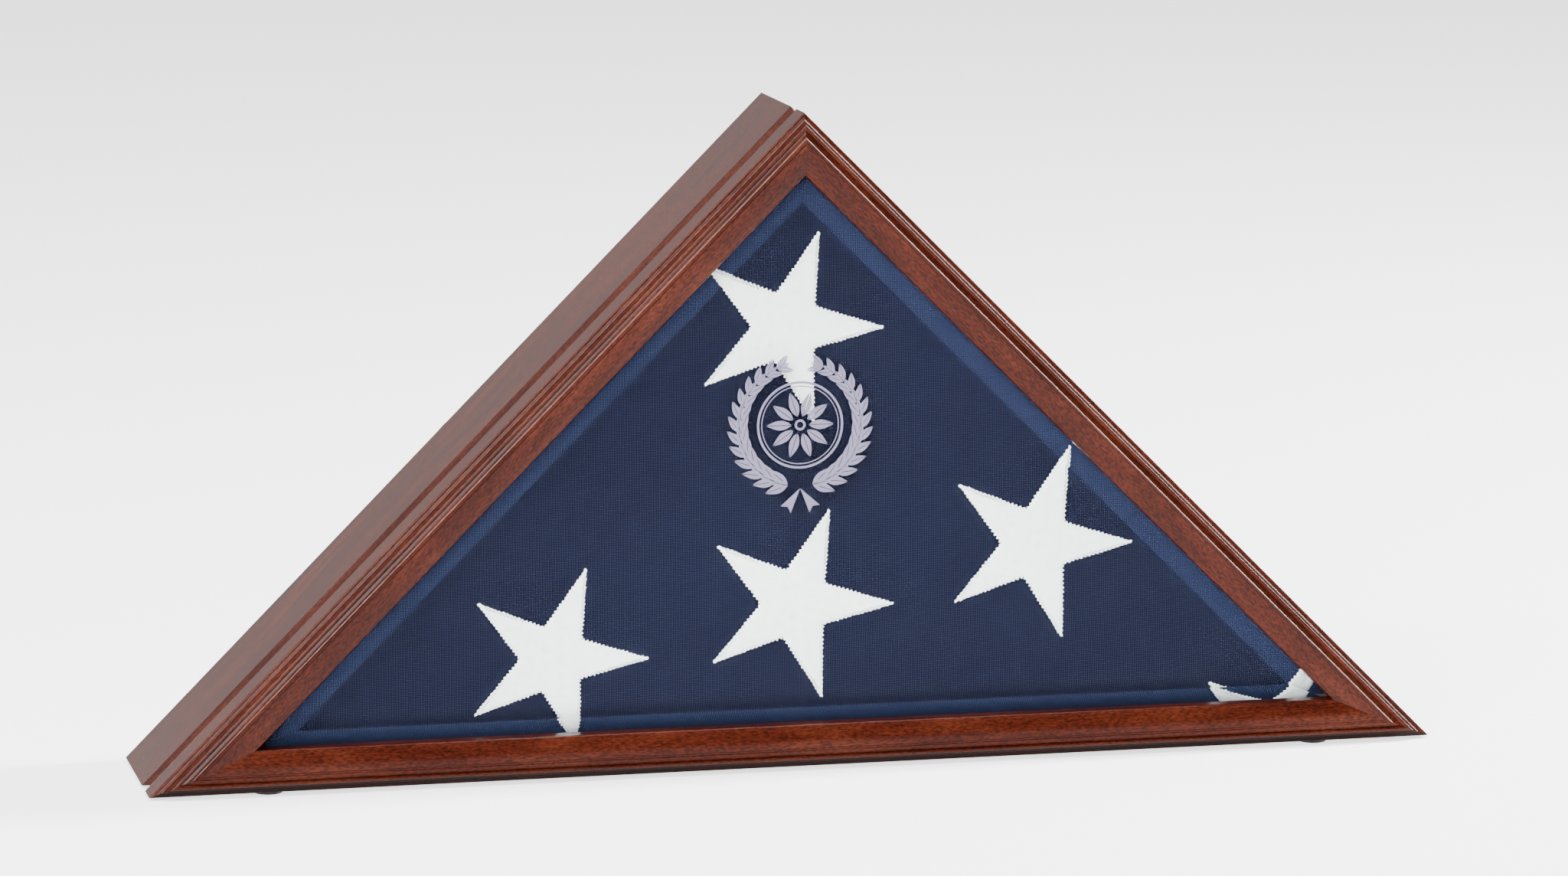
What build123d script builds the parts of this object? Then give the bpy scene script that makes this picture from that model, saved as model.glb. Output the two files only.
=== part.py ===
from build123d import *
import os
from math import cos, pi, radians, sin, tan

# A triangular display case for a flag folded in the regulation triangle.  A moulded hardwood front
# frame holds a bevelled pane, a mitred box behind it holds the flag, and a panel held by four
# turn buttons closes the back.  Millimetres; X to the right, Y towards the back, Z up.  The origin
# is under the middle of the case, on the surface that it stands on.

# ---- driving dimensions ----
case_width = 660.0            # outside, from tip to tip along the base
base_angle = 45.0             # at both ends of the base: half of the square fold of a flag
frame_depth = 26.5            # front frame, from the crest of its moulding to its rear face
box_depth = 77.0              # box, from the frame's rear face to the back of the case
board_thickness = 15.0        # box boards

# ---- front frame moulding, measured in from the outer edge and forward from the rear face ----
sight_width = 22.0            # outer edge to the sight edge
rabbet_start = 14.5           # outer edge to the wall of the pane's rabbet
rabbet_depth = 15.0           # rear face to the seat that the pane lies against
rear_round = 3.0              # rounded outer edge at the rear
arris_height = 20.0           # rear face to the outer front edge
arris_round = 0.6
cove_radius = 2.6             # hollow inside the outer edge
bead_start = 3.8
bead_width = 2.5
bead_height = 1.2
bead_seat = 23.4              # height that the bead springs from
hollow_end = 9.6              # wide hollow, from the bead to here
hollow_sagitta = 0.45
quirk_width = 0.5             # narrow groove outside the crest
quirk_depth = 0.7
fillet_width = 0.5            # flat strip before the groove
slope_drop = 3.0              # fall of the wide band from the crest to the lip
slope_sagitta = 0.75
lip_round = 1.5               # rounded sight edge

# ---- box ----
notch_inset = 2.0             # front outer edge of each board is bevelled by this much
notch_length = 10.0
rebate_width = 7.0            # rebate for the back panel
panel_recess = 0.3            # panel sits this far below the back edges
panel_thickness = 6.0
panel_gap = 0.4               # around the panel's edges
felt_thickness = 1.5
felt_gap = 1.0                # felt edge to the box walls

# ---- pane and its stops ----
glass_thickness = 5.0
glass_edge = 2.0              # thickness left at the bevelled edge
bevel_width = 14.5
glass_bottom_gap = 0.3        # the pane rests low in its rabbet
glass_leg_gap = 3.0
stop_width = 5.5
stop_rear_gap = 2.0           # back of the stops to the frame's rear face
pin_radius = 0.6
pin_depth = 6.0               # pin's length inside the rail
pin_margin = 90.0             # first pin to the corner
pins_on_base = 4
pins_on_leg = 3

# ---- joinery ----
spline_thickness = 3.0
spline_half_width = 5.5
spline_cover = 11.0           # wood left over each end of a spline
spline_place = 0.6            # along the mitre, from the outer corner
nail_leg = 3.5
nail_wall = 0.6
nail_height = 10.0
dowel_radius = 2.5
dowel_half_length = 10.0
dowel_margin = 130.0          # first dowel to the corner
dowels_on_base = 3
dowels_on_leg = 2

# ---- turn buttons and their screws ----
button_thickness = 1.6
button_reach = 27.0           # pivot to the centre of the small end
button_big_radius = 3.9
button_small_radius = 3.0
button_edge_round = 0.4
button_fit = 0.05             # radial clearance on the screw's shoulder
button_end_float = 0.1        # under the screw's head
button_margin = 165.0         # pivots on the base, from the corner
shoulder_radius = 2.0
button_screw_radius = 1.5
button_screw_length = 16.0
screw_head_radius = 3.4
screw_head_height = 1.8

# ---- hanger plates on the back panel ----
hanger_spacing = 200.0
hanger_height = 140.0         # entry holes above the underside of the case
hanger_width = 16.0
hanger_length = 46.0
hanger_thickness = 1.6
hanger_corner = 3.0
entry_radius = 4.5
slot_half_width = 2.3
slot_rise = 9.0
hanger_screw_place = 17.5     # each way from the plate's middle
hanger_screw_radius = 1.5
hanger_screw_length = 3.6     # inside the panel
hanger_head_radius = 2.7
hanger_head_height = 1.2
pocket_depth = 4.0            # room for the wall screw's head
pocket_gap = 1.2              # around the keyhole

# ---- foot pads ----
pad_radius = 7.0
pad_thickness = 1.5
pad_margin = 60.0             # pad centres to the tips of the base

# ---- folded flag ----
flag_bottom_gap = 0.3
flag_leg_gap = 1.7
flag_front_gap = 1.0          # to the pane's stops
flag_rear_gap = 1.0           # to the felt
flag_corner_round = 10.0
flag_edge_round = 5.0

# ---- places that follow ----
hardware_height = button_thickness + button_end_float + screw_head_height
joint_y = (frame_depth - box_depth - hardware_height) / 2
back_y = joint_y + box_depth
panel_rear_y = back_y - panel_recess
panel_front_y = panel_rear_y - panel_thickness
felt_front_y = panel_front_y - felt_thickness
glass_rear = rabbet_depth - glass_thickness
base_z = pad_thickness
slope = radians(base_angle)
case_height = case_width / 2 * tan(slope)
rebate_start = board_thickness - rebate_width
button_line = rebate_start / 2          # pivots run along the middle of the back edges

corners = {
    "left": Vector(-case_width / 2, 0, base_z),
    "right": Vector(case_width / 2, 0, base_z),
    "top": Vector(0, 0, base_z + case_height),
}
half_angles = {"left": slope / 2, "right": slope / 2, "top": pi / 2 - slope}
incentre = Vector(0, 0, base_z + case_width / 2 * tan(slope / 2))
# each side runs so that the inside of the case is on its left, seen from the front
sides = {
    "bottom": (corners["left"], corners["right"]),
    "right": (corners["right"], corners["top"]),
    "left": (corners["top"], corners["left"]),
}
to_back = Vector(0, 1, 0)


def side_run(side):
    """Direction along a side, and its length."""
    start, end = sides[side]
    return (end - start).normalized(), (end - start).length


def side_inward(side):
    run, _ = side_run(side)
    return to_back.cross(run) * -1


def side_point(side, along, inward, forward):
    """A point by its place along a side, in from the outer edge and forward of the joint plane."""
    start, _ = sides[side]
    run, _ = side_run(side)
    return start + run * along + side_inward(side) * inward + Vector(0, joint_y - forward, 0)


def spread(side, margin, count):
    """Even places along a side, the first and last a margin from the corners."""
    _, length = side_run(side)
    return [margin + (length - 2 * margin) * i / (count - 1) for i in range(count)]


def plate(outline, front_y, back_y_of_plate):
    """A plate with a flat outline given in X and Z, from its front plane to its back plane."""
    front = Plane(origin=(0, front_y, 0), x_dir=(1, 0, 0), z_dir=(0, -1, 0))
    return extrude(front * outline, amount=back_y_of_plate - front_y, dir=to_back)


def polygon(points):
    return make_face(Polyline(*[(p.X, p.Z) for p in points], close=True))


def inset_corners(bottom, leg):
    """Corners of the case's triangle with its base raised and its legs moved in."""
    foot = case_width / 2 - leg / sin(slope) - bottom / tan(slope)
    peak = base_z + case_height - leg / cos(slope)
    return [Vector(-foot, 0, base_z + bottom), Vector(foot, 0, base_z + bottom), Vector(0, 0, peak)]


def mitred(side, section):
    """A length of moulding along a side, cut to the mitres at both of its corners."""
    run, length = side_run(side)
    start, end = sides[side]
    plane = Plane(origin=side_point(side, 0, 0, 0), x_dir=side_inward(side), z_dir=run)
    stick = extrude(plane * section, amount=length, dir=run)
    wedge = plate(polygon([start, end, incentre]), joint_y - 2 * frame_depth, back_y + frame_depth)
    return stick & wedge


def corner_plate(corner, outline, front_y, rear_y):
    """A plate on a mitre: outline points run from the corner to the incentre, and across."""
    origin = corners[corner]
    inward = (incentre - origin).normalized()
    across = to_back.cross(inward)
    points = [origin + inward * a + across * b for a, b in outline]
    return plate(polygon(points), front_y, rear_y)


def rod(point, direction, radius, length):
    """A round rod that starts at a point."""
    place = Plane(origin=point, z_dir=direction)
    return place * Cylinder(radius, length, align=(Align.CENTER, Align.CENTER, Align.MIN))


def cut(body, tools):
    for tool in tools:
        body = body - tool
    return body


# ---- sections of the moulding, the boards and the stops ----
def frame_section():
    """Cove, bead, hollow, groove and wide sloping band, round to the sight edge."""
    cove_end = (arris_round + cove_radius, arris_height + cove_radius)
    arris = (arris_round, arris_height)
    bead_end = (bead_start + bead_width, bead_seat)
    hollow_top = frame_depth - quirk_depth / 2
    fillet_end = hollow_end + fillet_width
    crest = fillet_end + quirk_width
    lip = (sight_width - lip_round, frame_depth - slope_drop)
    lip_foot = (sight_width, frame_depth - slope_drop - lip_round)
    outline = [
        RadiusArc((rear_round, 0), (0, rear_round), rear_round),
        Line((0, rear_round), (0, arris_height - arris_round)),
        RadiusArc((0, arris_height - arris_round), arris, arris_round),
        RadiusArc(arris, cove_end, -cove_radius),
        Polyline(cove_end, (cove_end[0], bead_seat), (bead_start, bead_seat)),
        SagittaArc((bead_start, bead_seat), bead_end, bead_height),
        SagittaArc(bead_end, (hollow_end, hollow_top), -hollow_sagitta),
        Polyline(
            (hollow_end, hollow_top),
            (fillet_end, hollow_top),
            (fillet_end, frame_depth - quirk_depth),
            (crest, frame_depth - quirk_depth),
            (crest, frame_depth),
        ),
        SagittaArc((crest, frame_depth), lip, slope_sagitta),
        RadiusArc(lip, lip_foot, lip_round),
        Polyline(
            lip_foot,
            (sight_width, rabbet_depth),
            (rabbet_start, rabbet_depth),
            (rabbet_start, 0),
            (rear_round, 0),
        ),
    ]
    return make_face(outline)


def board_section():
    """Box board with its bevelled front edge and the rebate for the back panel."""
    shoulder = panel_front_y - joint_y
    points = [
        (notch_inset, 0),
        (0, -notch_length),
        (0, -box_depth),
        (rebate_start, -box_depth),
        (rebate_start, -shoulder),
        (board_thickness, -shoulder),
        (board_thickness, 0),
    ]
    return make_face(Polyline(*points, close=True))


def stop_section():
    wide = rabbet_start + stop_width
    points = [
        (rabbet_start, stop_rear_gap),
        (wide, stop_rear_gap),
        (wide, glass_rear),
        (rabbet_start, glass_rear),
    ]
    return make_face(Polyline(*points, close=True))


# ---- joinery and fasteners ----
def corner_spline(corner):
    """Blind wooden slip across the mitre of two box boards."""
    middle = spline_place * board_thickness / sin(half_angles[corner])
    near = middle - spline_thickness / 2
    far = middle + spline_thickness / 2
    half = spline_half_width
    outline = [(near, -half), (far, -half), (far, half), (near, half)]
    return corner_plate(corner, outline, joint_y + spline_cover, panel_front_y - spline_cover)


def corner_nail(corner):
    """Steel V-nail pressed into the frame's mitre from the rear."""
    tip = (rabbet_start / 2 - nail_leg / 2) / sin(half_angles[corner])
    end = tip + nail_leg
    wall = nail_wall * 2 ** 0.5
    outline = [
        (tip, 0), (end, nail_leg), (end + wall, nail_leg),
        (tip + wall, 0), (end + wall, -nail_leg), (end, -nail_leg),
    ]
    return corner_plate(corner, outline, joint_y - nail_height, joint_y)


def side_dowels(side):
    count = dowels_on_base if side == "bottom" else dowels_on_leg
    line = board_thickness / 2
    length = 2 * dowel_half_length
    places = spread(side, dowel_margin, count)
    return [
        rod(side_point(side, place, line, dowel_half_length), to_back, dowel_radius, length)
        for place in places
    ]


def side_pins(side):
    """Headless pins through a stop into the wall of the rabbet."""
    count = pins_on_base if side == "bottom" else pins_on_leg
    height = (stop_rear_gap + glass_rear) / 2
    head = rabbet_start + stop_width
    outward = side_inward(side) * -1
    return [
        rod(side_point(side, place, head, height), outward, pin_radius, stop_width + pin_depth)
        for place in spread(side, pin_margin, count)
    ]


def cross_recess(radius, top, depth):
    """Tool for the cross in a screw's head."""
    arm = Box(2 * radius * 0.62, radius * 0.26, depth, align=(Align.CENTER, Align.CENTER, Align.MAX))
    return Location((0, 0, top)) * (arm + Rotation(0, 0, 90) * arm)


def screw_head(radius, height):
    head = Cylinder(radius, height, align=(Align.CENTER, Align.CENTER, Align.MIN))
    head = fillet(head.edges().sort_by(Axis.Z)[-1], height * 0.7)
    return head - cross_recess(radius, height, height * 0.6)


def button_pivots():
    """Name, side and place along the side of every turn button."""
    _, base_length = side_run("bottom")
    _, leg_length = side_run("left")
    return [
        ("bottom_left", "bottom", button_margin),
        ("bottom_right", "bottom", base_length - button_margin),
        ("right", "right", leg_length / 2),
        ("left", "left", leg_length / 2),
    ]


def button_plane(side, along, height):
    """Plane on the back of the case at a pivot, its X along the side."""
    run, _ = side_run(side)
    origin = side_point(side, along, button_line, -box_depth - height)
    return Plane(origin=origin, x_dir=run, z_dir=to_back)


def button_screw(side, along):
    """Brass screw: thread in the board, a plain shoulder in the button, and a domed head."""
    depth = button_screw_length
    shoulder_length = button_thickness + button_end_float
    low = (Align.CENTER, Align.CENTER, Align.MIN)
    thread = Location((0, 0, -depth)) * Cylinder(button_screw_radius, depth, align=low)
    shoulder = Cylinder(shoulder_radius, shoulder_length, align=low)
    head = Location((0, 0, shoulder_length)) * screw_head(screw_head_radius, screw_head_height)
    return button_plane(side, along, 0) * (thread + shoulder + head)


def turn_button(side, along):
    """Stamped brass button, turned open, lying along the back edge of its board."""
    big = Circle(button_big_radius)
    small = Location((button_reach, 0)) * Circle(button_small_radius)
    outline = make_hull(big.edges() + small.edges())
    body = extrude(outline, amount=button_thickness, dir=(0, 0, 1))
    body = fillet(body.faces().sort_by(Axis.Z)[-1].edges(), button_edge_round)
    hole = Cylinder(shoulder_radius + button_fit, 4 * button_thickness)
    return button_plane(side, along, 0) * (body - hole)


# ---- pane, panel, flag ----
def glass_pane():
    """Plate glass with a wide ground bevel on its front, resting low in the rabbet."""
    bottom = rabbet_start + glass_bottom_gap
    leg = rabbet_start + glass_leg_gap
    rear_y = joint_y - glass_rear
    bevel_y = rear_y - glass_edge
    front_y = rear_y - glass_thickness
    outer = polygon(inset_corners(bottom, leg))
    inner = polygon(inset_corners(bottom + bevel_width, leg + bevel_width))
    slab = plate(outer, bevel_y, rear_y)
    low = Plane(origin=(0, bevel_y, 0), x_dir=(1, 0, 0), z_dir=(0, -1, 0)) * outer
    high = Plane(origin=(0, front_y, 0), x_dir=(1, 0, 0), z_dir=(0, -1, 0)) * inner
    return slab + loft([low, high], ruled=True)


def hanger_middle(sign):
    return sign * hanger_spacing / 2, base_z + hanger_height + slot_rise / 2


def hanger_screw_points(sign):
    x, z = hanger_middle(sign)
    return [(x, z - hanger_screw_place), (x, z + hanger_screw_place)]


def keyhole(grow):
    """Keyhole outline about its entry hole, grown by a clearance."""
    entry = Circle(entry_radius + grow)
    slot_top = Location((0, slot_rise)) * Circle(slot_half_width + grow)
    low = (Align.CENTER, Align.MIN)
    return entry + Rectangle(2 * (slot_half_width + grow), slot_rise, align=low) + slot_top


def hanger_plate(sign):
    x, z = hanger_middle(sign)
    outline = Location((x, z)) * RectangleRounded(hanger_width, hanger_length, hanger_corner)
    outline = outline - Location((x, base_z + hanger_height)) * keyhole(0)
    for screw_x, screw_z in hanger_screw_points(sign):
        outline = outline - Location((screw_x, screw_z)) * Circle(hanger_screw_radius)
    return plate(outline, panel_rear_y, panel_rear_y + hanger_thickness)


def hanger_screws(sign):
    low = (Align.CENTER, Align.CENTER, Align.MIN)
    length = hanger_screw_length + hanger_thickness
    screws = []
    for x, z in hanger_screw_points(sign):
        shank = Location((0, 0, -length)) * Cylinder(hanger_screw_radius, length, align=low)
        screw = shank + screw_head(hanger_head_radius, hanger_head_height)
        seat = Plane(origin=(x, panel_rear_y + hanger_thickness, z), z_dir=to_back)
        screws.append(seat * screw)
    return screws


def back_panel(screws):
    gap = rebate_start + panel_gap
    body = plate(polygon(inset_corners(gap, gap)), panel_front_y, panel_rear_y)
    for sign in (-1, 1):
        pocket = Location((sign * hanger_spacing / 2, base_z + hanger_height)) * keyhole(pocket_gap)
        body = body - plate(pocket, panel_rear_y - pocket_depth, panel_rear_y)
    return cut(body, screws)


def felt_lining():
    gap = board_thickness + felt_gap
    return plate(polygon(inset_corners(gap, gap)), felt_front_y, panel_front_y)


def folded_flag():
    """Plain closed solid of the folded flag, clear of the walls, the stops and the felt."""
    bottom = board_thickness + flag_bottom_gap
    leg = board_thickness + flag_leg_gap
    outline = polygon(inset_corners(bottom, leg))
    outline = fillet(outline.vertices(), flag_corner_round)
    front_y = joint_y - stop_rear_gap + flag_front_gap
    body = plate(outline, front_y, felt_front_y - flag_rear_gap)
    rims = body.faces().sort_by(Axis.Y)
    return fillet(rims[0].edges() + rims[-1].edges(), flag_edge_round)


def foot_pad(x_sign, y):
    x = x_sign * (case_width / 2 - pad_margin)
    return rod(Vector(x, y, 0), Vector(0, 0, 1), pad_radius, pad_thickness)


# ---- the assembly ----
nodes = {}
splines = {corner: corner_spline(corner) for corner in corners}
nails = {corner: corner_nail(corner) for corner in corners}
dowels = {side: side_dowels(side) for side in sides}
pins = {side: side_pins(side) for side in sides}
pivots = button_pivots()
button_screws = {name: button_screw(side, along) for name, side, along in pivots}

for side in sides:
    rail_tools = list(nails.values()) + dowels[side] + pins[side]
    nodes["frame_rail_" + side] = cut(mitred(side, frame_section()), rail_tools)
    nodes["glass_stop_" + side] = cut(mitred(side, stop_section()), pins[side])
    side_screws = [button_screws[name] for name, its_side, _ in pivots if its_side == side]
    board_tools = list(splines.values()) + dowels[side] + side_screws
    nodes["box_board_" + side] = cut(mitred(side, board_section()), board_tools)

for corner in corners:
    nodes["corner_spline_" + corner] = splines[corner]
nodes["frame_corner_nails"] = list(nails.values())
nodes["frame_dowels"] = [dowel for side in sides for dowel in dowels[side]]
nodes["stop_pins"] = [pin for side in sides for pin in pins[side]]
nodes["button_screws"] = list(button_screws.values())
for name, side, along in pivots:
    nodes["turn_button_" + name] = turn_button(side, along)

nodes["glass_pane"] = glass_pane()
nodes["hanger_plate_left"] = hanger_plate(-1)
nodes["hanger_plate_right"] = hanger_plate(1)
plate_screws = hanger_screws(-1) + hanger_screws(1)
nodes["hanger_screws"] = plate_screws
nodes["back_panel"] = back_panel(plate_screws)
nodes["felt_lining"] = felt_lining()
nodes["folded_flag"] = folded_flag()

front_pad_y = joint_y - (arris_height + rear_round) / 2
rear_pad_y = back_y - pad_radius - rebate_width
for row, pad_y in (("front", front_pad_y), ("rear", rear_pad_y)):
    for hand, x_sign in (("left", -1), ("right", 1)):
        nodes["foot_pad_" + row + "_" + hand] = foot_pad(x_sign, pad_y)

os.makedirs("parts", exist_ok=True)
for name, shape in nodes.items():
    solids = shape if isinstance(shape, list) else [shape]
    export_step(Compound(children=[s for part in solids for s in part.solids()]), "parts/" + name + ".step")
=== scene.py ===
import math
import random

import bpy
from mathutils import Matrix, Vector, noise


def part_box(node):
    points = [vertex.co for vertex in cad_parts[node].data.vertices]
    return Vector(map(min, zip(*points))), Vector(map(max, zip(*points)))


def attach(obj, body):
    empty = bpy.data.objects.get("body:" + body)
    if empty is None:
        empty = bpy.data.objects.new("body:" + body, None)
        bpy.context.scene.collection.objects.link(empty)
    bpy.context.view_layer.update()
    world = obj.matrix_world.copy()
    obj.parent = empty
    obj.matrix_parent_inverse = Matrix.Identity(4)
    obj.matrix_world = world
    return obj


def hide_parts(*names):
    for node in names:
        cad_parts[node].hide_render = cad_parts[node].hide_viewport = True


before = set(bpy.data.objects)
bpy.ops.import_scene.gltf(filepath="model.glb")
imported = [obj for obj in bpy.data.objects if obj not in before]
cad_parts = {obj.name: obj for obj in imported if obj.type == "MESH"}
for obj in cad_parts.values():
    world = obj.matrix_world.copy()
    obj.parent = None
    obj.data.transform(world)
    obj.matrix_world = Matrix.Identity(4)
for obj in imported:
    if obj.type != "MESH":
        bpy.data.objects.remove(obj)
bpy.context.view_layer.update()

bpy.ops.object.select_all(action="DESELECT")


# ---- the studio: floor, light and camera ----
# The case stands on a plain pale floor under large soft lights.  It is seen from the left and a
# little above through a long lens, so that the left side of the box shows.
floor_size = 30.0
floor_colour = (0.80, 0.80, 0.80, 1)
floor_glow = 1.6                # the floor is a lit table, brighter than the lamps alone make it
bpy.ops.mesh.primitive_plane_add(size=floor_size, location=(0, 0, 0))
floor = bpy.context.object
floor.name = "studio_floor"
floor_paint = bpy.data.materials.new("studio_floor")
floor_paint.use_nodes = True
floor_shader = floor_paint.node_tree.nodes["Principled BSDF"]
floor_shader.inputs["Base Color"].default_value = floor_colour
floor_shader.inputs["Roughness"].default_value = 0.9
floor_shader.inputs["Specular IOR Level"].default_value = 0.0
floor_shader.inputs["Emission Color"].default_value = (1, 1, 1, 1)
floor_shader.inputs["Emission Strength"].default_value = floor_glow
floor.data.materials.append(floor_paint)

# the room is bright behind the case and dimmer in front of it
room_front = 0.12
room_back = 0.9
room_fade_start = -0.2
room_fade_end = 0.7
room = bpy.data.worlds.new("studio_room")
room.use_nodes = True
bpy.context.scene.world = room
room_nodes = room.node_tree.nodes
backdrop = room_nodes["Background"]
backdrop.inputs["Color"].default_value = (1, 1, 1, 1)
direction = room_nodes.new("ShaderNodeTexCoord")
split_direction = room_nodes.new("ShaderNodeSeparateXYZ")
brightness = room_nodes.new("ShaderNodeMapRange")
brightness.inputs["From Min"].default_value = room_fade_start
brightness.inputs["From Max"].default_value = room_fade_end
brightness.inputs["To Min"].default_value = room_front
brightness.inputs["To Max"].default_value = room_back
room.node_tree.links.new(direction.outputs["Generated"], split_direction.inputs[0])
room.node_tree.links.new(split_direction.outputs["Y"], brightness.inputs["Value"])
room.node_tree.links.new(brightness.outputs[0], backdrop.inputs["Strength"])

# name, place, size across and up, power in watts; all face the middle of the case
lamps = [
    ("key_softbox", (-1.6, -3.4, 1.3), 1.6, 1.6, 250),
    ("right_strip", (2.8, 0.1, 1.7), 0.25, 1.4, 400),
    ("left_strip", (-2.1, -0.9, 2.4), 0.18, 1.4, 180),
    ("top_strip", (0.7, -0.5, 3.0), 1.6, 0.18, 110),
]
lamp_target = Vector((0, 0, 0.15))
for name, place, across, up, power in lamps:
    bpy.ops.object.light_add(type="AREA", location=place)
    lamp = bpy.context.object
    lamp.name = name
    lamp.data.shape = "RECTANGLE"
    lamp.data.size = across
    lamp.data.size_y = up
    lamp.data.energy = power
    lamp.rotation_euler = (lamp_target - Vector(place)).to_track_quat("-Z", "Y").to_euler()

camera_place = Vector((-0.6775, -2.9504, 0.6574))
camera_azimuth = math.radians(12.94)
camera_elevation = math.radians(-9.31)
camera_lens = 139.2
camera_sensor = 36.0
sight = Vector((
    math.sin(camera_azimuth) * math.cos(camera_elevation),
    math.cos(camera_azimuth) * math.cos(camera_elevation),
    math.sin(camera_elevation),
))
bpy.ops.object.camera_add(location=camera_place, rotation=sight.to_track_quat("-Z", "Y").to_euler())
camera = bpy.context.object
camera.name = "studio_camera"
camera.data.lens = camera_lens
camera.data.sensor_width = camera_sensor
bpy.context.scene.camera = camera


# ---- lacquered frame rails and box boards ----
# Mitred hardwood, stained a red-brown cherry and sprayed with a satin lacquer.  The grain runs
# along each length, so it turns at every mitre, and no two lengths share a piece of grain.
stain_dark = (0.021, 0.0034, 0.0017, 1)
stain_middle = (0.032, 0.0055, 0.0025, 1)
stain_light = (0.049, 0.0100, 0.0044, 1)
figure_stretch = (16, 90, 90)   # along the grain and across it
pore_stretch = (420, 1300, 1300)
pore_shade = 0.52               # of the darkest pores; the lightest spots gain as much
pore_range = (0.34, 0.64)
# the bottom rail's moulding faces the floor: painted shade darkens its colour to a share below a
# height
painted_shade_rail = "frame_rail_bottom"
painted_shade_height = 0.0062           # its underside moulding gets painted shade up to here, as it faces the floor
painted_shade_fade = 0.0012
painted_shade_share = 0.22
lacquer_smooth = 0.15           # roughness where the lacquer lies best, and where it is dullest
lacquer_dull = 0.31
lacquer_gloss = 0.08


def new_material(name):
    """An empty node material, its Principled shader, and functions that add and join nodes."""
    material = bpy.data.materials.new(name)
    material.use_nodes = True
    tree = material.node_tree
    shader = tree.nodes["Principled BSDF"]

    def node(kind, **settings):
        added = tree.nodes.new("ShaderNode" + kind)
        for key, value in settings.items():
            setattr(added, key, value)
        return added

    def join(source, target):
        tree.links.new(source, target)

    return material, shader, node, join


def grain_coordinates(node, join, turn, stretch, shift):
    """Object coordinates turned to run along a length, stretched along its grain."""
    place = node("TexCoord")
    turned = node("Mapping")
    turned.inputs["Rotation"].default_value = (0, math.radians(turn), 0)
    turned.inputs["Location"].default_value = shift
    stretched = node("Mapping")
    stretched.inputs["Scale"].default_value = stretch
    join(place.outputs["Object"], turned.inputs["Vector"])
    join(turned.outputs["Vector"], stretched.inputs["Vector"])
    return stretched.outputs["Vector"]


def noise_over(node, join, vector, scale, detail=2.0, distortion=0.0):
    """A noise figure over a set of coordinates."""
    figure = node("TexNoise")
    figure.inputs["Scale"].default_value = scale
    figure.inputs["Detail"].default_value = detail
    figure.inputs["Distortion"].default_value = distortion
    join(vector, figure.inputs["Vector"])
    return figure.outputs["Fac"]


def spread_over(node, join, value, low, high, start=0.0, end=1.0):
    """A value that runs from start to end, spread from low to high."""
    spread = node("MapRange")
    spread.inputs["From Min"].default_value = start
    spread.inputs["From Max"].default_value = end
    spread.inputs["To Min"].default_value = low
    spread.inputs["To Max"].default_value = high
    join(value, spread.inputs["Value"])
    return spread.outputs[0]


def shaded(node, join, colour, shade):
    """A colour made lighter or darker by a shade."""
    product = node("VectorMath", operation="SCALE")
    join(colour, product.inputs[0])
    join(shade, product.inputs["Scale"])
    return product.outputs["Vector"]


def colour_steps(node, join, value, stops):
    """The colour that a value picks from a few stops; the first two are the ends."""
    ramp = node("ValToRGB")
    for index, (place, colour) in enumerate(stops):
        stop = ramp.color_ramp.elements[index] if index < 2 else ramp.color_ramp.elements.new(place)
        stop.position = place
        stop.color = colour
    join(value, ramp.inputs["Fac"])
    return ramp.outputs["Color"]


def add_relief(node, join, shader, height, strength, depth):
    """Fine relief in the surface of a finish."""
    relief = node("Bump")
    relief.inputs["Strength"].default_value = strength
    relief.inputs["Distance"].default_value = depth
    join(height, relief.inputs["Height"])
    join(relief.outputs["Normal"], shader.inputs["Normal"])


def lacquered_wood(name, turn, shift, lowest_painted_shade=1.0):
    """Stained and lacquered wood; the moulding next to the floor can be darkened with painted shade.
    """
    material, shader, node, join = new_material(name)
    along_figure = grain_coordinates(node, join, turn, figure_stretch, shift)
    along_pores = grain_coordinates(node, join, turn, pore_stretch, shift)
    figure = noise_over(node, join, along_figure, scale=1.0, detail=6.0, distortion=0.6)
    pores = noise_over(node, join, along_pores, scale=1.0, detail=3.0)
    stops = [(0.28, stain_dark), (0.72, stain_light), (0.5, stain_middle)]
    stain = colour_steps(node, join, figure, stops)
    pore_tone = spread_over(node, join, pores, pore_shade, 2 - pore_shade, *pore_range)
    stained = shaded(node, join, stain, pore_tone)
    # painted shade: the colour is darkened below a height, where the bottom rail's moulding faces
    # down
    split_place = node("SeparateXYZ")
    join(node("TexCoord").outputs["Object"], split_place.inputs[0])
    height = split_place.outputs["Z"]
    painted_shade_start = painted_shade_height - painted_shade_fade
    painted_low_shade = spread_over(node, join, height, lowest_painted_shade, 1.0, painted_shade_start, painted_shade_height)
    join(shaded(node, join, stained, painted_low_shade), shader.inputs["Base Color"])
    roughness = spread_over(node, join, figure, lacquer_smooth, lacquer_dull)
    join(roughness, shader.inputs["Roughness"])
    shader.inputs["Specular IOR Level"].default_value = lacquer_gloss
    add_relief(node, join, shader, pores, strength=0.12, depth=0.0003)
    return material


def finish_node(name, material):
    """Give a CAD piece its finish."""
    piece = bpy.data.objects[name]
    piece.data.materials.clear()
    piece.data.materials.append(material)


# for each side of the triangle, the turn that lays the grain along it
grain_turns = {"bottom": 0, "left": 45, "right": -45}
for index, (side, turn) in enumerate(grain_turns.items()):
    for row, part in enumerate(("frame_rail_", "box_board_")):
        shift = (0.7 * index + 0.3 * row, 0.21 * row, 0.37 * index)
        # only the bottom rail gets painted shade on its underside moulding
        lowest_painted_shade = painted_shade_share if part + side == painted_shade_rail else 1.0
        finish_node(part + side, lacquered_wood(part + side, turn, shift, lowest_painted_shade))


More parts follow.
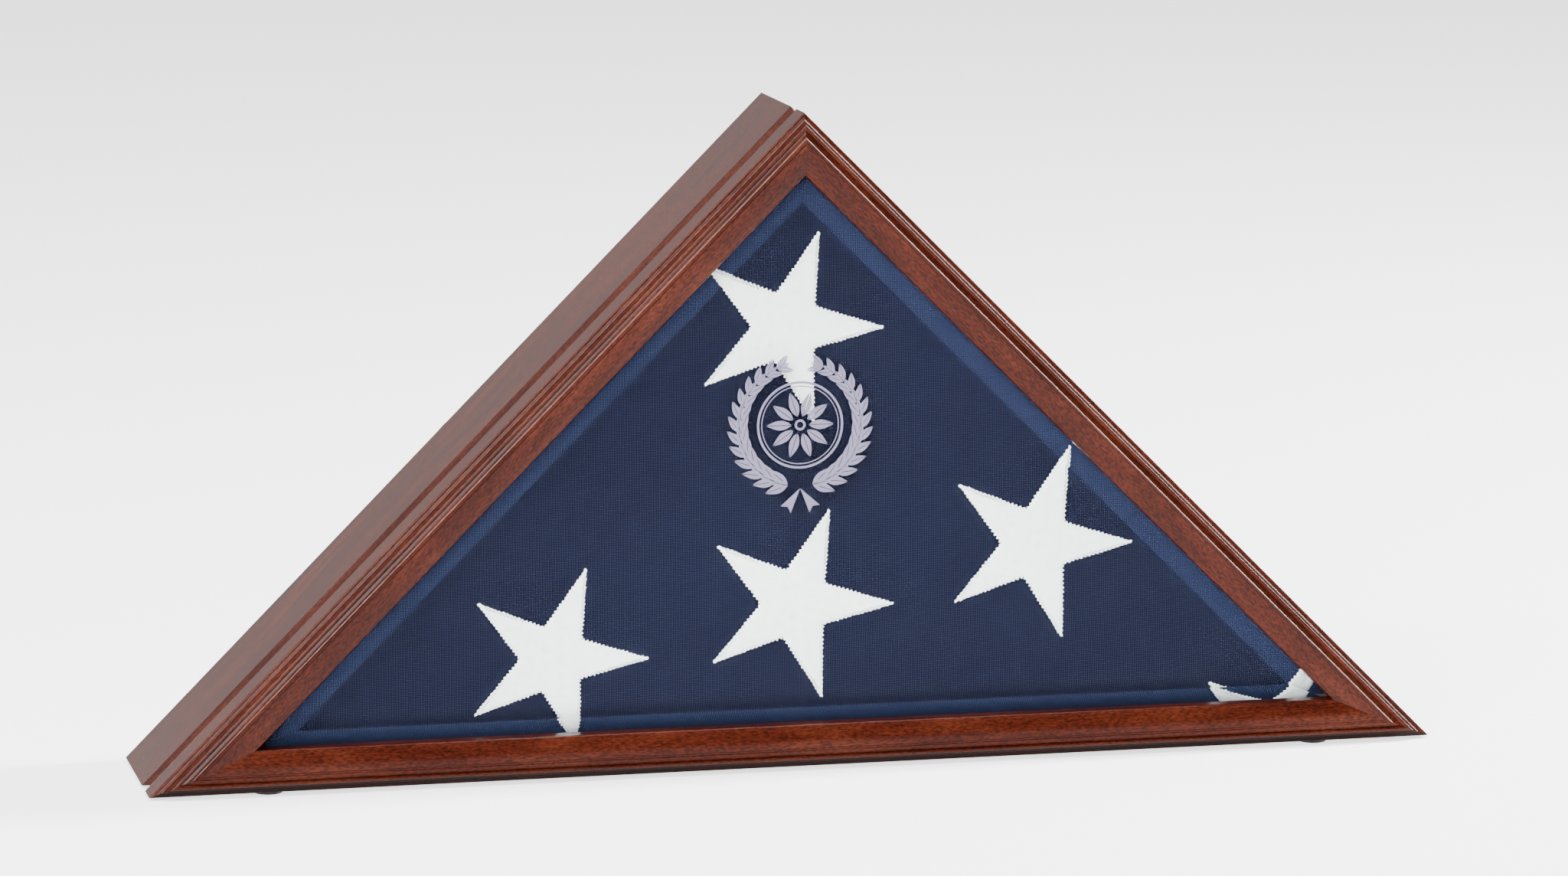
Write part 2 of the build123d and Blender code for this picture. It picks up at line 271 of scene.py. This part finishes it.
# ---- bevelled pane ----
# Clear float glass, 5 mm thick, with a wide bevel ground and polished round its front face.  It
# is laid in the rails' rabbets from behind, and stops pinned to the rails keep it there.
glass_bend = 1.5
glass_colour = (0.98, 0.99, 0.99, 1)
glass_tint = (0.93, 0.97, 0.97, 1)      # of the light that comes through
glass_mirror = 0.0015           # the pane is coated, so it mirrors little
mirror_roughness = 0.02
flat_facing = 0.99              # a face that looks forward less squarely than this is bevel
# painted light on the bevels: a share of blue diffuse colour for the lighter band their refraction
# and reflection show
bevel_painted_light = 0.030
bevel_painted_colour = (0.24, 0.36, 0.80, 1)


def pane_glass():
    """Glass that lamps shine through, with faint cool painted light on the polished bevels that
    stands in for the light they refract and reflect.
    """
    material, shader, node, join = new_material("pane_glass")
    nodes = material.node_tree.nodes
    nodes.remove(shader)

    def mixed(first, second):
        mix = node("MixShader")
        join(first.outputs[0], mix.inputs[1])
        join(second.outputs[0], mix.inputs[2])
        return mix

    facing = node("NewGeometry").outputs["True Normal"]
    bend = node("BsdfRefraction")
    bend.inputs["IOR"].default_value = glass_bend
    bend.inputs["Roughness"].default_value = 0.0
    bend.inputs["Color"].default_value = glass_colour
    join(facing, bend.inputs["Normal"])
    mirror = node("BsdfGlossy")
    mirror.inputs["Roughness"].default_value = mirror_roughness
    join(facing, mirror.inputs["Normal"])
    clear = mixed(bend, mirror)
    clear.inputs["Fac"].default_value = glass_mirror

    split_facing = node("SeparateXYZ")
    join(facing, split_facing.inputs[0])
    squareness = node("Math", operation="ABSOLUTE")
    join(split_facing.outputs["Y"], squareness.inputs[0])
    on_bevel = node("Math", operation="LESS_THAN")
    on_bevel.inputs[1].default_value = flat_facing
    join(squareness.outputs[0], on_bevel.inputs[0])
    # painted light: the bevel faces get a share of blue diffuse colour
    painted_light_share = node("Math", operation="MULTIPLY")
    painted_light_share.inputs[1].default_value = bevel_painted_light
    join(on_bevel.outputs[0], painted_light_share.inputs[0])
    painted_bevel_light = node("BsdfDiffuse")
    painted_bevel_light.inputs["Color"].default_value = bevel_painted_colour
    clear_with_painted_light = mixed(clear, painted_bevel_light)
    join(painted_light_share.outputs[0], clear_with_painted_light.inputs["Fac"])

    lamp_way = node("BsdfTransparent")
    lamp_way.inputs["Color"].default_value = glass_tint
    glass = mixed(clear_with_painted_light, lamp_way)
    join(node("LightPath").outputs["Is Shadow Ray"], glass.inputs["Fac"])
    join(glass.outputs[0], nodes["Material Output"].inputs["Surface"])
    return material


finish_node("glass_pane", pane_glass())


# ---- etched wreath ----
# A laurel wreath round two thin rings, sand etched into the front of the pane.  Each leaf is two
# halves with a clear vein between them, and the branches are tied at the foot.
etch_centre = Vector((-0.001, 0, 0.1745))
etch_height = 0.00015
etch_colour = (0.17, 0.155, 0.235, 1)
etch_cover = 0.80
etch_grain = 0.2                # the cover varies by this much both ways
wreath_radius = 0.0310
wreath_start = 12               # degrees from straight down, both ways
wreath_end = 158
leaf_pairs = 13
leaf_length = 0.0120
leaf_width = 0.0044
leaf_vein = 0.00028
leaf_points = 9
leaf_belly = 0.85               # below 1 the leaf is widest nearer its stalk
leaf_splay = 30                 # degrees that a leaf leans away from its branch
leaf_taper = 0.30               # the last leaves are smaller by this share
middle_leaf = 0.8               # size of the leaf between each pair
rosette_petals = 10
rosette_eye = 0.0045            # clear middle of the rosette
petal_size = 1.05
outer_ring = (0.0215, 0.0012)   # radius and width of the line
inner_ring = (0.0196, 0.0005)
eye_ring = (0.0022, 0.0012)
ribbon_outline = [(0, 0), (0.013, 0.0032), (0.0112, 0), (0.013, -0.0032)]
ribbon_turns = (235, -55)       # degrees
ribbon_drop = 0.001             # the knot is this far below the branches
pane_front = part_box("glass_pane")[0].y


def flat_outline(name, points, height):
    """A thin slab with an outline in X and Z, standing forward of the plane Y = 0."""
    bpy.ops.mesh.primitive_circle_add(vertices=len(points), fill_type="NGON", location=(0, 0, 0))
    slab = bpy.context.object
    slab.name = name
    for vertex, (x, z) in zip(slab.data.vertices, points):
        vertex.co = (x, 0, z)
    bpy.ops.object.mode_set(mode="EDIT")
    bpy.ops.mesh.select_all(action="SELECT")
    bpy.ops.mesh.extrude_region_move(TRANSFORM_OT_translate={"value": (0, -height, 0)})
    bpy.ops.mesh.select_all(action="SELECT")
    bpy.ops.mesh.normals_make_consistent(inside=False)
    bpy.ops.object.mode_set(mode="OBJECT")
    return slab


def put(original, name, matrix):
    """A copy with its own mesh, its place baked into the mesh."""
    copy = original.copy()
    copy.data = original.data.copy()
    copy.name = name
    copy.data.transform(matrix)
    bpy.context.collection.objects.link(copy)
    return copy


def join_pieces(name, pieces):
    """One piece from several, named and left at the origin."""
    bpy.ops.object.select_all(action="DESELECT")
    for piece in pieces:
        piece.select_set(True)
    bpy.context.view_layer.objects.active = pieces[0]
    bpy.ops.object.join()
    whole = bpy.context.object
    whole.name = name
    whole.data.name = name
    bpy.ops.object.transform_apply(location=True, rotation=True, scale=True)
    bpy.ops.object.select_all(action="DESELECT")
    return whole


half_leaf = []
for step in range(leaf_points):
    along = step / (leaf_points - 1)
    swell = leaf_width / 2 * math.sin(math.pi * along ** leaf_belly)
    half_leaf.append((along * leaf_length, leaf_vein / 2 + swell))
leaf_sides = [
    flat_outline("leaf_upper", half_leaf, etch_height),
    flat_outline("leaf_lower", [(x, -z) for x, z in half_leaf], etch_height),
]
leaf = join_pieces("leaf", leaf_sides)


def turned_at(x, z, angle, size=1.0):
    """Matrix that scales, turns in the plane of the pane and moves a flat shape."""
    turn = Matrix.Rotation(-angle, 4, "Y")
    return Matrix.Translation((x, pane_front, z)) @ turn @ Matrix.Scale(size, 4)


wreath = []
for hand in (-1, 1):
    for pair in range(leaf_pairs):
        share = pair / (leaf_pairs - 1)
        around = math.radians(wreath_start + (wreath_end - wreath_start) * share) * hand
        x = etch_centre.x + wreath_radius * math.sin(around)
        z = etch_centre.z - wreath_radius * math.cos(around)
        run = around if hand > 0 else around + math.pi
        size = 1.0 - leaf_taper * share
        for lean in (-1, 1):
            angle = run + math.radians(leaf_splay) * lean
            wreath.append(put(leaf, "leaf_copy", turned_at(x, z, angle, size)))
        wreath.append(put(leaf, "leaf_copy", turned_at(x, z, run, middle_leaf * size)))


def etched_ring(radius, width):
    """A thin flat ring round the middle of the wreath."""
    bpy.ops.mesh.primitive_torus_add(
        major_radius=radius, minor_radius=width / 2, major_segments=96, minor_segments=8,
        rotation=(math.pi / 2, 0, 0))
    ring = bpy.context.object
    bpy.ops.object.transform_apply(location=True, rotation=True, scale=True)
    squeeze = Matrix.Diagonal((1, etch_height / width, 1, 1))
    place = Matrix.Translation((etch_centre.x, pane_front - etch_height / 2, etch_centre.z))
    ring.data.transform(place @ squeeze)
    return ring


wreath.append(etched_ring(*outer_ring))
wreath.append(etched_ring(*inner_ring))
for petal in range(rosette_petals):
    angle = 2 * math.pi * petal / rosette_petals
    x = etch_centre.x + rosette_eye * math.cos(angle)
    z = etch_centre.z + rosette_eye * math.sin(angle)
    wreath.append(put(leaf, "petal", turned_at(x, z, angle, petal_size)))
bpy.data.objects.remove(leaf)
wreath.append(etched_ring(*eye_ring))
for turn in ribbon_turns:
    ribbon = flat_outline("ribbon", ribbon_outline, etch_height)
    knot_z = etch_centre.z - wreath_radius - ribbon_drop
    ribbon.data.transform(turned_at(etch_centre.x, knot_z, math.radians(turn)))
    wreath.append(ribbon)
etched_wreath = join_pieces("etched_wreath", wreath)


def frosted_etch():
    """Ground glass: a pale cool haze, faintly grained, that the flag shows through."""
    material, shader, node, join = new_material("frosted_etch")
    grain = noise_over(node, join, node("TexCoord").outputs["Object"], scale=2500.0)
    cover = spread_over(node, join, grain, etch_cover - etch_grain, etch_cover + etch_grain)
    join(cover, shader.inputs["Alpha"])
    shader.inputs["Base Color"].default_value = etch_colour
    shader.inputs["Roughness"].default_value = 0.7
    return material


etched_wreath.data.materials.clear()
etched_wreath.data.materials.append(frosted_etch())
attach(etched_wreath, "case")


# ---- folded flag ----
# Cotton bunting folded into a triangular pack: one smooth sheet over the front that rolls round
# soft folds at the edges, the stacked folds showing as ridges down the sides, and a flat back.
case_low, case_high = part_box("box_board_bottom")
pack_low, pack_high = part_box("folded_flag")
# how far the pack lies inside the space of the CAD flag
pack_base_gap = 0.0006
pack_front_gap = 0.0010
pack_back_gap = 0.0008
pack_front = pack_low.y + pack_front_gap
pack_back = pack_high.y - pack_back_gap
pack_leg_inset = 0.0174         # from the outside of the case's slanting sides
fold_radius = {"bottom": 0.018, "right": 0.005, "left": 0.009}
fold_blend = 6                  # the higher, the more quickly one fold gives way to the next
corner_fold = 0.024             # largest reach of a fold into a corner
pack_back_rim = 0.0045
pack_crown = 0.0022             # the middle stands forward by this much
crown_reach = 0.06
swells = [(0.5, 0.13, 3.1), (0.25, 0.05, 7.7)]      # share of the crown, size, seed
pack_layers = 12
layer_groove = 0.0016
groove_narrowness = 0.55        # the lower, the narrower the valleys between the layers
groove_wander = 0.0012
groove_noise = (0.09, 1.3)      # size and seed
groove_drift = 3                # how much faster the wander changes from layer to layer
groove_onset = 4                # the higher, the later a valley starts round the front fold
back_hollow = 0.0010
hollow_noise = (0.08, 5.5)      # size and seed
back_hollow_steps = 5           # rings from the rim over which the back sinks to its hollow
back_reach = 0.985              # share of the way to the middle that the back's rings go
on_the_core = 1e-7              # a spot this near the flat of the front is on it
corner_steps = 18
side_steps = {"bottom": 96, "leg": 68}
front_steps, fold_steps, wall_steps, rim_steps, back_steps = 26, 10, 66, 8, 14
quarter_turn = math.pi / 2
# outward direction of each side, in turn from the bottom, and its fold
side_turns = [(-math.pi / 2, "bottom"), (math.pi / 4, "right"), (math.pi * 3 / 4, "left")]


def fold_core():
    """Left, right and top corners of the flat of the front, inside the folds."""
    base = pack_low.z - case_low.z + pack_base_gap + fold_radius["bottom"]
    left = (pack_leg_inset + fold_radius["left"]) * math.sqrt(2)
    right = (pack_leg_inset + fold_radius["right"]) * math.sqrt(2)
    low_z = case_low.z + base
    half = case_high.x
    top = Vector(((left - right) / 2, case_low.z + half - (left + right) / 2))
    return [Vector((left + base - half, low_z)), Vector((half - right - base, low_z)), top]


core = fold_core()
core_middle = sum(core, Vector((0, 0))) / 3


def heading(angle):
    """Direction in the plane of the front, from an angle."""
    return Vector((math.cos(angle), math.sin(angle)))


def fold_at(outward):
    """Radius of the fold in a direction: each side's own, reaching further into the corners."""
    total = corner_fold ** -fold_blend
    for angle, side in side_turns:
        total += (max(outward.dot(heading(angle)), 0) / fold_radius[side]) ** fold_blend
    return total ** (-1 / fold_blend)


def ring_at(scale, reach_of):
    """Round the core, drawn in by a scale: each spot, its outward direction, and the spot moved
    out by the reach in that direction."""
    steps = [side_steps["bottom"], side_steps["leg"], side_steps["leg"]]
    ring = []
    for index in range(3):
        here = core_middle + (core[index] - core_middle) * scale
        there = core_middle + (core[(index + 1) % 3] - core_middle) * scale
        start = side_turns[index - 1][0]
        span = (side_turns[index][0] - start) % (2 * math.pi)
        for step in range(corner_steps + 1):
            outward = heading(start + span * step / corner_steps)
            ring.append((here, outward, here + outward * reach_of(outward)))
        outward = heading(side_turns[index][0])
        for step in range(1, steps[index]):
            spot = here.lerp(there, step / steps[index])
            ring.append((spot, outward, spot + outward * reach_of(outward)))
    return ring


def edge_gaps(point):
    """Distance inside each edge of the core; none outside it."""
    gaps = []
    for index in range(3):
        start, end = core[index], core[(index + 1) % 3]
        run = (end - start).normalized()
        offset = point - start
        gaps.append(max(run.x * offset.y - run.y * offset.x, 0))
    return gaps


def nearest_on_core(point):
    """Nearest point of the core triangle."""
    if min(edge_gaps(point)) > 0:
        return point.copy()
    spots = []
    for index in range(3):
        start, end = core[index], core[(index + 1) % 3]
        run = end - start
        share = min(max((point - start).dot(run) / run.length_squared, 0), 1)
        spots.append(start + run * share)
    return min(spots, key=lambda spot: (point - spot).length)


def soft_noise(x, z, size, seed):
    """Smooth unevenness between -1 and 1, with swells of a size."""
    return noise.noise(Vector((x / size, z / size, seed)))


def front_puff(x, z):
    """How far the front sheet stands forward: a low crown with soft uneven fullness."""
    ease = 1.0
    for gap in edge_gaps(Vector((x, z))):
        share = min(gap / crown_reach, 1)
        ease *= share * share * (3 - 2 * share)
    swell = sum(share * soft_noise(x, z, size, seed) for share, size, seed in swells)
    return pack_crown * ease * (1 + swell)


def groove_at(y, x, z):
    """Depth of the valleys between the stacked folds at a place on the side."""
    wander = groove_wander * soft_noise(x + z, y * groove_drift, *groove_noise)
    place = (y + wander - pack_front) / (pack_back - pack_front) * pack_layers
    ridge = abs(math.sin(math.pi * place))
    return layer_groove * (1 - ridge ** groove_narrowness)


def lay_on_pack(flat, lift=0.0):
    """Where a spot of the flat front sheet goes when it is laid on the pack and round its folds."""
    foot = nearest_on_core(flat)
    away = flat - foot
    if away.length < on_the_core:
        return Vector((flat.x, pack_front - front_puff(flat.x, flat.y) - lift, flat.y))
    outward = away.normalized()
    fold = fold_at(outward)
    turn = min(away.length / fold, quarter_turn)
    y = pack_front + fold * (1 - math.cos(turn)) + max(away.length - fold * quarter_turn, 0)
    valley = groove_at(y, foot.x, foot.y) * (turn / quarter_turn) ** groove_onset
    spot = foot + outward * (fold * math.sin(turn) - valley + lift * math.sin(turn))
    return Vector((spot.x, y - lift * math.cos(turn), spot.y))


def laid_ring(ring):
    """A ring of the flat sheet as it lies on the pack, and its flat spots."""
    flats = [flat for _, _, flat in ring]
    return [lay_on_pack(flat) for flat in flats], flats


def side_reach(outward, wall_end, step):
    """Length of flat sheet from the core, round the fold and some steps down the side."""
    fold = fold_at(outward)
    return fold * quarter_turn + (wall_end - pack_front - fold) * step / wall_steps


def front_and_side_rings(wall_end):
    """Rings from the middle of the front, round the folds and down the sides."""
    rings = []
    for step in range(1, front_steps + 1):
        rings.append(laid_ring(ring_at(step / front_steps, lambda outward: 0)))
    for step in range(1, fold_steps + 1):
        ring = ring_at(1, lambda outward: fold_at(outward) * quarter_turn * step / fold_steps)
        rings.append(laid_ring(ring))
    for step in range(1, wall_steps + 1):
        ring = ring_at(1, lambda outward: side_reach(outward, wall_end, step))
        rings.append(laid_ring(ring))
    return rings


def back_rim_rings(wall_end):
    """Rings that roll from the sides on to the back."""
    rings = []
    for step in range(1, rim_steps + 1):
        turn = quarter_turn * step / rim_steps
        drawn_in = pack_back_rim * (1 - math.cos(turn))
        y = wall_end + pack_back_rim * math.sin(turn)
        ring = []
        flats = []
        for foot, outward, _ in ring_at(1, fold_at):
            reach = fold_at(outward) - drawn_in - groove_at(y, foot.x, foot.y) * math.cos(turn)
            spot = foot + outward * reach
            ring.append(Vector((spot.x, y, spot.y)))
            flats.append(foot + outward * (wall_end - pack_front + pack_back_rim * turn))
        rings.append((ring, flats))
    return rings


def back_rings():
    """Rings over the back, which is flat but for a slight hollow."""

    def rim_reach(outward):
        return fold_at(outward) - pack_back_rim

    rings = []
    for step in range(1, back_steps + 1):
        share = step / back_steps
        sink = back_hollow * min(step / back_hollow_steps, 1)
        scale = 1 - back_reach * share
        spots = ring_at(scale, lambda outward: rim_reach(outward) * (1 - share))
        flats = [flat for _, _, flat in spots]
        ring = []
        for flat in flats:
            hollow = sink * (1 + soft_noise(flat.x, flat.y, *hollow_noise))
            ring.append(Vector((flat.x, pack_back - hollow, flat.y)))
        rings.append((ring, flats))
    return rings


def faces_between(rings):
    """Four-sided faces from each ring to the next."""
    count = len(rings[0][0])
    faces = []
    for row in range(len(rings) - 1):
        for k in range(count):
            a, b = row * count + k, row * count + (k + 1) % count
            faces.append((a, b, b + count, a + count))
    return faces


def cloth_piece(name, rings, faces, merge, sliver=0):
    """A closed piece of cloth over rings of points, with the flat place of each point as its UV.
    Points that fall together are merged, and slivers can be dropped."""
    flats = [flat for _, ring_flats in rings for flat in ring_flats]
    mesh = bpy.data.meshes.new(name)
    mesh.from_pydata([point for ring, _ in rings for point in ring], [], faces)
    layer = mesh.uv_layers.new(name="cloth")
    for loop in mesh.loops:
        layer.data[loop.index].uv = flats[loop.vertex_index]
    piece = bpy.data.objects.new(name, mesh)
    bpy.context.collection.objects.link(piece)
    bpy.ops.object.select_all(action="DESELECT")
    piece.select_set(True)
    bpy.context.view_layer.objects.active = piece
    bpy.ops.object.mode_set(mode="EDIT")
    bpy.ops.mesh.select_all(action="SELECT")
    bpy.ops.mesh.remove_doubles(threshold=merge)
    if sliver:
        bpy.ops.mesh.dissolve_degenerate(threshold=sliver)
    bpy.ops.mesh.normals_make_consistent(inside=False)
    bpy.ops.object.mode_set(mode="OBJECT")
    return piece


def pack_piece():
    """The whole pack, closed in the middle of the front and of the back."""
    wall_end = pack_back - pack_back_rim
    rings = front_and_side_rings(wall_end) + back_rim_rings(wall_end) + back_rings()
    count = len(rings[0][0])
    front_cap = tuple(reversed(range(count)))
    back_cap = tuple(range((len(rings) - 1) * count, len(rings) * count))
    faces = faces_between(rings) + [front_cap, back_cap]
    piece = cloth_piece("flag_pack", rings, faces, merge=0.00002)
    bpy.ops.object.shade_smooth()
    bpy.ops.object.select_all(action="DESELECT")
    return piece


cloth_navy = (0.0038, 0.0043, 0.0112, 1)
cloth_navy_light = (0.0058, 0.0066, 0.0172, 1)
thread_pitch = 0.0007
wave_units = 20                 # a band texture counts 20 radians to the unit


def thread_wave(node, join, coordinate, axis):
    """Threads of the weave across one direction of the cloth."""
    threads = node("TexWave", wave_type="BANDS", bands_direction=axis)
    threads.inputs["Scale"].default_value = 2 * math.pi / thread_pitch / wave_units
    threads.inputs["Distortion"].default_value = 0.6
    threads.inputs["Detail"].default_value = 1.0
    join(coordinate, threads.inputs["Vector"])
    return threads.outputs["Fac"]


def weighed(node, join, value, weight, added):
    """A value times a weight, added to another value."""
    total = node("Math", operation="MULTIPLY_ADD")
    join(value, total.inputs[0])
    total.inputs[1].default_value = weight
    join(added, total.inputs[2])
    return total.outputs[0]


def cotton_bunting(name, dark, light):
    """Plain woven cotton: crossed threads in colour and relief, with slubs along one of them."""
    material, shader, node, join = new_material(name)
    flat = node("UVMap", uv_map="cloth").outputs["UV"]
    both = node("Math", operation="ADD")
    join(thread_wave(node, join, flat, "X"), both.inputs[0])
    join(thread_wave(node, join, flat, "Y"), both.inputs[1])
    stretch = node("Mapping")
    stretch.inputs["Scale"].default_value = (900, 60, 1)
    join(flat, stretch.inputs["Vector"])
    slubs = noise_over(node, join, stretch.outputs["Vector"], scale=1.0, detail=4.0)
    shade = weighed(node, join, both.outputs[0], 0.28, slubs)
    join(colour_steps(node, join, shade, [(0.35, dark), (1.0, light)]), shader.inputs["Base Color"])
    shader.inputs["Roughness"].default_value = 0.85
    shader.inputs["Specular IOR Level"].default_value = 0.02
    add_relief(node, join, shader, both.outputs[0], strength=0.5, depth=0.0002)
    return material


flag_pack = pack_piece()
flag_pack.data.materials.append(cotton_bunting("flag_navy", cloth_navy, cloth_navy_light))
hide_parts("folded_flag")
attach(flag_pack, "folded_flag")


# ---- embroidered stars ----
# White five-pointed stars, satin stitched through the cloth, so they stand a little proud and
# their edges are a row of stitch ends.  They lie on the front in the flag's staggered rows, and
# the ones at the folds roll round them with the cloth.
star_radius = 0.0510
star_pull = 0.93                # the stitching pulls the notches in
star_notch = star_pull * star_radius * math.sin(math.radians(18)) / math.sin(math.radians(54))
star_corners = 10               # five tips and the notches between them
star_turn = math.radians(20)
star_first = Vector((-0.0007, 0.0815))
star_across = Vector((0.1250, 0.0261))
star_up = Vector((-0.0048, 0.1409))
# across, up, size: the sewn stars are not quite regular
star_places = [
    (0, 0, 1.0), (-0.99, 0.02, 0.955), (1, 0, 1.01), (0, 1, 0.99), (1, -1, 1.0), (2.03, -0.958, 1.0),
]
star_height = 0.0009
star_edge = 0.35                # share of that height at the stitched edge
star_sink = 0.0006
stitch_pitch = 0.0011           # from one stitch end to the next gap
stitch_reach = 0.00060
stitch_spread = (0.5, 1.3)      # shortest and longest stitch end, as a share of that reach
star_rows = 10
star_wrap = 0.050               # stars are followed this far round the folds, out of sight


def star_corner(index):
    """Tips and notches in turn round the star."""
    angle = star_turn + math.radians(360 / star_corners) * index
    radius = star_notch if index % 2 else star_radius
    return Vector((math.sin(angle), math.cos(angle))) * radius


stitches_on_edge = 2 * round((star_corner(1) - star_corner(0)).length / stitch_pitch / 2)


def star_rings(centre, size):
    """Rings of flat points from the middle of a star to its stitched edge."""
    rings = []
    for row in range(1, star_rows + 1):
        share = row / star_rows
        ring = []
        for index in range(star_corners):
            start, end = star_corner(index), star_corner(index + 1)
            outward = Vector((-(end - start).y, (end - start).x)).normalized()
            outward = outward if outward.dot(start + end) > 0 else -outward
            for stitch in range(stitches_on_edge):
                spot = start.lerp(end, stitch / stitches_on_edge) * share * size
                if row == star_rows:
                    way = 1 if stitch % 2 else -1
                    spot += outward * stitch_reach * way * random.uniform(*stitch_spread)
                spot += centre
                foot = nearest_on_core(spot)
                away = spot - foot
                if away.length > star_wrap:
                    spot = foot + away.normalized() * star_wrap
                ring.append(spot)
        rings.append(ring)
    return rings


def star_piece(name, centre, size):
    """A stitched star that lies on the pack, closed on its underside in the cloth."""
    flat_rings = star_rings(centre, size)
    rings = []
    for flats in flat_rings:
        lift = star_height * (star_edge if flats is flat_rings[-1] else 1)
        rings.append(([lay_on_pack(flat, lift) for flat in flats], flats))
    for flats in (flat_rings[-1], flat_rings[0]):
        rings.append(([lay_on_pack(flat, -star_sink) for flat in flats], flats))
    count = len(flat_rings[0])
    top_cap = tuple(range(count))
    under_cap = tuple(reversed(range((len(rings) - 1) * count, len(rings) * count)))
    faces = [top_cap] + faces_between(rings) + [under_cap]
    piece = cloth_piece(name, rings, faces, merge=0.00012, sliver=0.00010)
    bpy.ops.object.shade_smooth_by_angle(angle=math.radians(40))
    bpy.ops.object.select_all(action="DESELECT")
    return piece


thread_white = (0.86, 0.86, 0.85, 1)
thread_shadow = (0.66, 0.67, 0.70, 1)


def satin_stitch():
    """Close white stitches side by side, with a soft gloss along the thread."""
    material, shader, node, join = new_material("satin_stitch")
    flat = node("UVMap", uv_map="cloth").outputs["UV"]
    turned = node("Mapping")
    turned.inputs["Rotation"].default_value = (0, 0, math.radians(70))
    join(flat, turned.inputs["Vector"])
    stitches = thread_wave(node, join, turned.outputs["Vector"], "X")
    uneven = noise_over(node, join, flat, scale=260.0, detail=4.0)
    share = weighed(node, join, stitches, 0.35, uneven)
    stops = [(0.30, thread_shadow), (0.62, thread_white)]
    join(colour_steps(node, join, share, stops), shader.inputs["Base Color"])
    shader.inputs["Roughness"].default_value = 0.6
    shader.inputs["Sheen Weight"].default_value = 0.15
    add_relief(node, join, shader, share, strength=0.6, depth=0.0003)
    return material


random.seed(50)
star_finish = satin_stitch()
for number, (across, up, size) in enumerate(star_places, start=1):
    centre = star_first + star_across * across + star_up * up
    star = star_piece("embroidered_star_%d" % number, centre, size)
    star.data.materials.append(star_finish)
    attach(star, "folded_flag")


# ---- brass buttons, plated hardware and inner pieces ----
# Stamped brass turn buttons on brass screws, zinc plated keyhole plates, a dark stained back
# board lined with black felt, dark stained stops behind the pane, felt pads under the case, and
# bare wood for the dowels and splines.


def opaque(colour, share=1.0):
    """A full or darkened colour, as a shader takes it."""
    return tuple(share * part for part in colour) + (1,)


def worn_metal(name, colour, roughness):
    """Metal with brushed fine scratches and patches of duller and brighter finish."""
    material, shader, node, join = new_material(name)
    place = node("TexCoord").outputs["Object"]
    patches = noise_over(node, join, place, scale=90.0, detail=5.0)
    dullness = spread_over(node, join, patches, roughness - 0.10, roughness + 0.16)
    join(dullness, shader.inputs["Roughness"])
    stops = [(0.30, opaque(colour, 0.72)), (0.65, opaque(colour))]
    join(colour_steps(node, join, patches, stops), shader.inputs["Base Color"])
    shader.inputs["Metallic"].default_value = 1.0
    brushed = node("Mapping")
    brushed.inputs["Scale"].default_value = (400, 400, 5000)
    join(place, brushed.inputs["Vector"])
    scratches = noise_over(node, join, brushed.outputs["Vector"], scale=1.0)
    add_relief(node, join, shader, scratches, strength=0.15, depth=0.00005)
    return material


def wool_felt(name, colour):
    """Pressed wool: matted fibres in relief and a soft sheen."""
    material, shader, node, join = new_material(name)
    place = node("TexCoord").outputs["Object"]
    fibres = noise_over(node, join, place, scale=900.0, detail=6.0, distortion=1.5)
    stops = [(0.3, opaque(colour, 0.5)), (0.7, opaque(colour))]
    join(colour_steps(node, join, fibres, stops), shader.inputs["Base Color"])
    shader.inputs["Roughness"].default_value = 0.95
    shader.inputs["Specular IOR Level"].default_value = 0.1
    shader.inputs["Sheen Weight"].default_value = 0.4
    add_relief(node, join, shader, fibres, strength=0.8, depth=0.0004)
    return material


def open_wood(name, dark, light, turn):
    """Unlacquered wood with an open grain, bare or stained."""
    material, shader, node, join = new_material(name)
    along_grain = grain_coordinates(node, join, turn, (12, 260, 260), (0.4, 0.1, 0.2))
    grain = noise_over(node, join, along_grain, scale=1.0, detail=6.0)
    stops = [(0.3, opaque(dark)), (0.7, opaque(light))]
    join(colour_steps(node, join, grain, stops), shader.inputs["Base Color"])
    shader.inputs["Roughness"].default_value = 0.75
    add_relief(node, join, shader, grain, strength=0.3, depth=0.0002)
    return material


polished_brass = worn_metal("polished_brass", (0.80, 0.56, 0.24), 0.22)
zinc_plate = worn_metal("zinc_plate", (0.62, 0.64, 0.66), 0.34)
bright_steel = worn_metal("bright_steel", (0.55, 0.55, 0.55), 0.30)
black_felt = wool_felt("black_felt", (0.022, 0.022, 0.026))
back_board = open_wood("back_board", (0.030, 0.013, 0.009), (0.062, 0.028, 0.018), 0)
inner_wood = {}
stained_stops = {}
for side, turn in grain_turns.items():
    inner_wood[side] = open_wood("inner_wood_" + side, (0.42, 0.26, 0.15), (0.60, 0.41, 0.25), turn)
    stop_name = "stained_stop_" + side
    stained_stops[side] = open_wood(stop_name, (0.016, 0.005, 0.003), (0.034, 0.012, 0.007), turn)
finishes = {
    "back_panel": back_board,
    "felt_lining": black_felt,
    "hanger_plate_left": zinc_plate,
    "hanger_plate_right": zinc_plate,
    "hanger_screws": zinc_plate,
    "button_screws": polished_brass,
    "frame_corner_nails": bright_steel,
    "stop_pins": bright_steel,
    "frame_dowels": inner_wood["bottom"],
    "corner_spline_left": inner_wood["left"],
    "corner_spline_right": inner_wood["right"],
    "corner_spline_top": inner_wood["bottom"],
}
for side in grain_turns:
    finishes["glass_stop_" + side] = stained_stops[side]
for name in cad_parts:
    if name.startswith("turn_button_"):
        finishes[name] = polished_brass
    if name.startswith("foot_pad_"):
        finishes[name] = black_felt
for name, material in finishes.items():
    finish_node(name, material)
